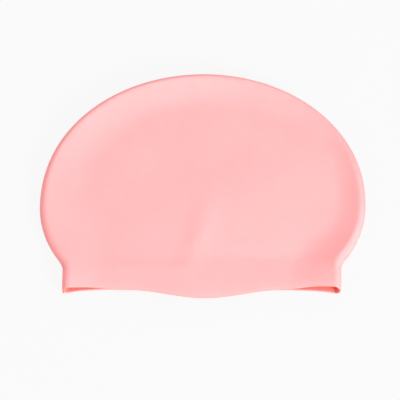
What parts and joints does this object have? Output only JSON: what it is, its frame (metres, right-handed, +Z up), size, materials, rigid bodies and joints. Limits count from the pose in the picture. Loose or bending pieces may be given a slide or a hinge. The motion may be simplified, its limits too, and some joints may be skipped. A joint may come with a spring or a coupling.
{
  "type": "swim cap",
  "caption": "Moulded dome-shaped swim cap lying flat on its side, open at the mouth, with rounded folded edges, a narrower collar and a beaded rim that dips over the ears.",
  "frame": {"origin": "centre of the cap's footprint, on the surface that it lies on", "axes": "+X across the cap's width, +Y from the mouth to the crown, +Z up from the surface"},
  "size_m": [0.23, 0.1674, 0.016],
  "materials": {
    "silicone": "satin"
  },
  "bodies": {
    "root": {"cap": "silicone"}
  },
  "joints": []
}
